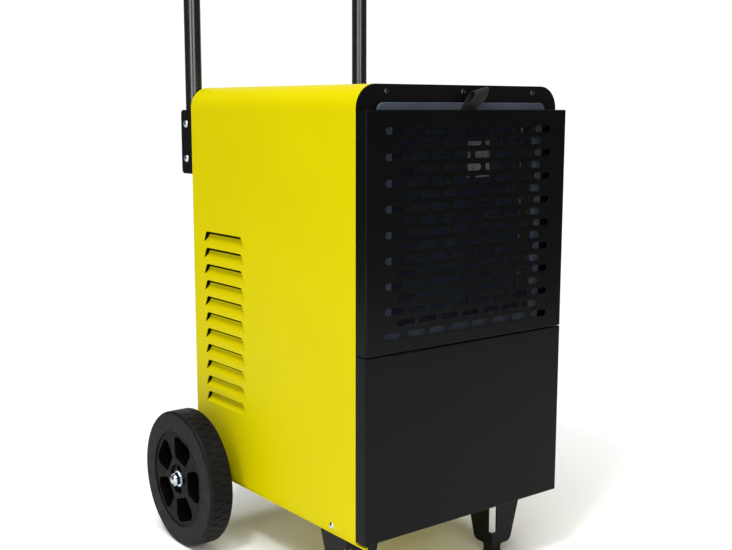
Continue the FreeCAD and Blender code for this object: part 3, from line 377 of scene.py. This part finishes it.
# ------------------------------------------------------------------ pull strap
def make_pull_strap():
    """Webbing band: up behind the door's edge, forward over it in a loop, and back down."""
    front_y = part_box("filter_frame")[0].y
    door_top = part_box("grille_panel")[1].z
    half_width = strap_width / 2
    half_thickness = strap_thickness / 2
    # Middle of the band as x, distance in front of the filter, height above the door
    # and how far the band's right edge is turned up, in millimetres and degrees.
    route = [
        (1.0, 0.75, -16, 0), (1.0, 0.75, -6, 0), (2.0, 0.9, 1, 0), (4.5, 1.2, 6, 1),
        (7.0, 1.7, 11, 3), (10.0, 2.4, 17, 7), (13.5, 4.2, 23, 11), (15.8, 7.6, 26.4, 13),
        (16.2, 10.8, 25.2, 13), (14.4, 12.4, 21.2, 12), (11.8, 12.2, 16.5, 9), (9.2, 10.8, 12, 5),
        (7.0, 8.4, 8.5, 2), (5.4, 5.4, 5.8, 1), (4.8, 3.2, 4.6, 1),
    ]
    columns = [smooth_numbers([row[k] for row in route], 6) for k in range(4)]
    places = [Vector((x * MM, front_y - forward * MM, door_top + above * MM))
              for x, forward, above in zip(*columns[:3])]
    # Corners of the band's section, in half widths and half thicknesses.
    section = [(-1, 0.4), (-0.93, 1), (0.93, 1), (1, 0.4), (1, -0.4), (0.93, -1), (-0.93, -1), (-1, -0.4)]
    bm = bmesh.new()
    rings = []
    for index, place in enumerate(places):
        before = places[max(index - 1, 0)]
        after = places[min(index + 1, len(places) - 1)]
        tilt = math.radians(columns[3][index])
        across = Vector((math.cos(tilt), 0, math.sin(tilt)))
        normal = (after - before).cross(across).normalized() * half_thickness
        rings.append([bm.verts.new(place + across * half_width * u + normal * v) for u, v in section])
    skin_rings(bm, rings)
    piece = new_piece("pull_strap_band", bm, "strap_web", "air_filter", ["filter_pull_strap"])
    shade_smooth(piece, 50.0)
    return piece


# ------------------------------------------------------------------ edges of carried-over pieces
def soften(name, width):
    """Paint-covered edges of a carried-over sheet, rounded where its faces meet sharply."""
    node = nodes[name]
    weld = node.modifiers.new("joined_faces", "WELD")
    weld.merge_threshold = 0.02 * MM
    bevel = node.modifiers.new("edge_radius", "BEVEL")
    bevel.width = width
    bevel.segments = 2
    bevel.limit_method = "ANGLE"
    bevel.angle_limit = math.radians(50)
    bevel.use_clamp_overlap = True
    bevel.harden_normals = True
    bevel.miter_outer = "MITER_ARC"


soften("grille_panel", 0.45 * MM)
soften("lower_front_panel", 0.35 * MM)


# ------------------------------------------------------------------ screws
def solid_boxes(node, reach):
    """Lowest and highest corners of a node's separate solids, which stand further apart than reach."""
    groups = []
    for vertex in nodes[node].data.vertices:
        place = vertex.co
        for group in groups:
            if (group[0] - place).length < reach:
                group.append(place.copy())
                break
        else:
            groups.append([place.copy()])
    boxes = []
    for group in groups:
        low = Vector([min(p[axis] for p in group) for axis in range(3)])
        high = Vector([max(p[axis] for p in group) for axis in range(3)])
        boxes.append((low, high))
    return boxes


def cross_recess(x, y, radius):
    """How deep the driver's cross is cut at a place on a screw head, from 0 to 1."""
    arm = 0.15 * radius
    reach = 0.6 * radius
    near, far = sorted((abs(x), abs(y)))
    along = min(max((reach - far) / (0.25 * radius), 0), 1)
    across = min(max((arm - near) / (0.06 * radius) + 0.5, 0), 1)
    return along * across


def add_pan_screw(bm, seat, outward, radius, height, shank_radius, shank_length):
    """Domed head with a cross recess on its crown, and a plain shank."""
    rings = 18
    segments = 48
    turn = outward.to_track_quat("Z", "Y").to_matrix().to_4x4()
    matrix = Matrix.Translation(seat) @ turn
    profile = [(shank_radius, -shank_length), (shank_radius, 0), (radius * 0.98, 0), (radius, 0.12 * height)]
    for k in range(1, rings):
        t = k / rings
        profile.append((radius * (1 - t), height * (0.2 + 0.8 * math.sin(0.5 * math.pi * t) ** 0.8)))
    loops = []
    for r, z in profile:
        loop = []
        for k in range(segments):
            angle = 2 * math.pi * k / segments
            x, y = r * math.cos(angle), r * math.sin(angle)
            depth = 0.55 * height * cross_recess(x, y, radius) if z > 0.2 * height else 0
            loop.append(bm.verts.new(matrix @ Vector((x, y, z - depth))))
        loops.append(loop)
    skin_rings(bm, loops)


def make_cover_screws():
    """Screws of the front frame face forward, and those of the rear panel backward."""
    bm = bmesh.new()
    middle = (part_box("cabinet_shell")[0].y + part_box("cabinet_shell")[1].y) / 2
    frame_thickness = 1.2 * MM
    for low, high in solid_boxes("cover_screws", 20 * MM):
        front = low.y < middle
        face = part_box("front_frame")[1].y - frame_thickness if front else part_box("rear_panel")[1].y
        outward = Vector((0, -1 if front else 1, 0))
        seat = Vector(((low.x + high.x) / 2, face, (low.z + high.z) / 2))
        radius = (high.x - low.x) / 2
        height = face - low.y if front else high.y - face
        shank_length = high.y - face if front else face - low.y
        add_pan_screw(bm, seat, outward, radius, height, 2 * MM, shank_length)
    piece = new_piece("cover_screw_set", bm, "black_screw", "cabinet", ["cover_screws"])
    shade_smooth(piece, 40.0)
    return piece


make_filter_net()
make_evaporator_fins()
make_pull_strap()
make_cover_screws()


# ------------------------------------------------------------------ studio
def add_floor(radius):
    """Round sheet of pale paper under the machine."""
    bm = bmesh.new()
    bmesh.ops.create_circle(bm, cap_ends=True, segments=128, radius=radius)
    mesh = bpy.data.meshes.new("floor")
    bm.to_mesh(mesh)
    bm.free()
    floor = bpy.data.objects.new("floor", mesh)
    bpy.context.scene.collection.objects.link(floor)
    s = Shader("floor_paper", (0.88, 0.88, 0.88), 0.85, 0.0, 0.05)
    s.tones(s.noise(0.8, 2.0), 0.99, 1.01)
    mesh.materials.append(s.material)


def add_softbox(name, location, width, height, power):
    light = bpy.data.lights.new(name, "AREA")
    light.shape = "RECTANGLE"
    light.size = width
    light.size_y = height
    light.energy = power
    lamp = bpy.data.objects.new(name, light)
    bpy.context.scene.collection.objects.link(lamp)
    lamp.location = location
    direction = Vector(cabinet_middle) - Vector(location)
    lamp.rotation_euler = direction.to_track_quat("-Z", "Y").to_euler()


def add_overhead(direction, strength, spread):
    """Very soft light from above, as even as a ceiling of diffusers."""
    light = bpy.data.lights.new("overhead", "SUN")
    light.energy = strength
    light.angle = math.radians(spread)
    lamp = bpy.data.objects.new("overhead", light)
    bpy.context.scene.collection.objects.link(lamp)
    lamp.rotation_euler = Vector(direction).to_track_quat("-Z", "Y").to_euler()


def add_room(level, backdrop):
    """Studio walls: white to look at, but lighting the machine softly from behind only."""
    world = bpy.data.worlds.new("studio")
    bpy.context.scene.world = world
    world.use_nodes = True
    tree = world.node_tree
    direction = tree.nodes.new("ShaderNodeTexCoord").outputs["Generated"]
    dot = tree.nodes.new("ShaderNodeVectorMath")
    dot.operation = "DOT_PRODUCT"
    dot.inputs[1].default_value = Vector(backdrop_direction).normalized()
    tree.links.new(direction, dot.inputs[0])
    ramp = tree.nodes.new("ShaderNodeMapRange")
    ramp.interpolation_type = "SMOOTHSTEP"
    for name, value in zip(("From Min", "From Max", "To Min", "To Max"), (0.7, 0.88, level, backdrop)):
        ramp.inputs[name].default_value = value
    tree.links.new(dot.outputs["Value"], ramp.inputs["Value"])
    seen = tree.nodes.new("ShaderNodeMath")
    seen.operation = "MAXIMUM"
    tree.links.new(ramp.outputs["Result"], seen.inputs[0])
    tree.links.new(tree.nodes.new("ShaderNodeLightPath").outputs["Is Camera Ray"], seen.inputs[1])
    tree.links.new(seen.outputs["Value"], tree.nodes["Background"].inputs["Color"])


bpy.context.scene.view_settings.view_transform = "Standard"
add_floor(2.2)
add_room(0.15, 1.05)
add_overhead((0.2, 0.15, -1.0), 2.8, 60)
for softbox in softboxes:
    add_softbox(*softbox)
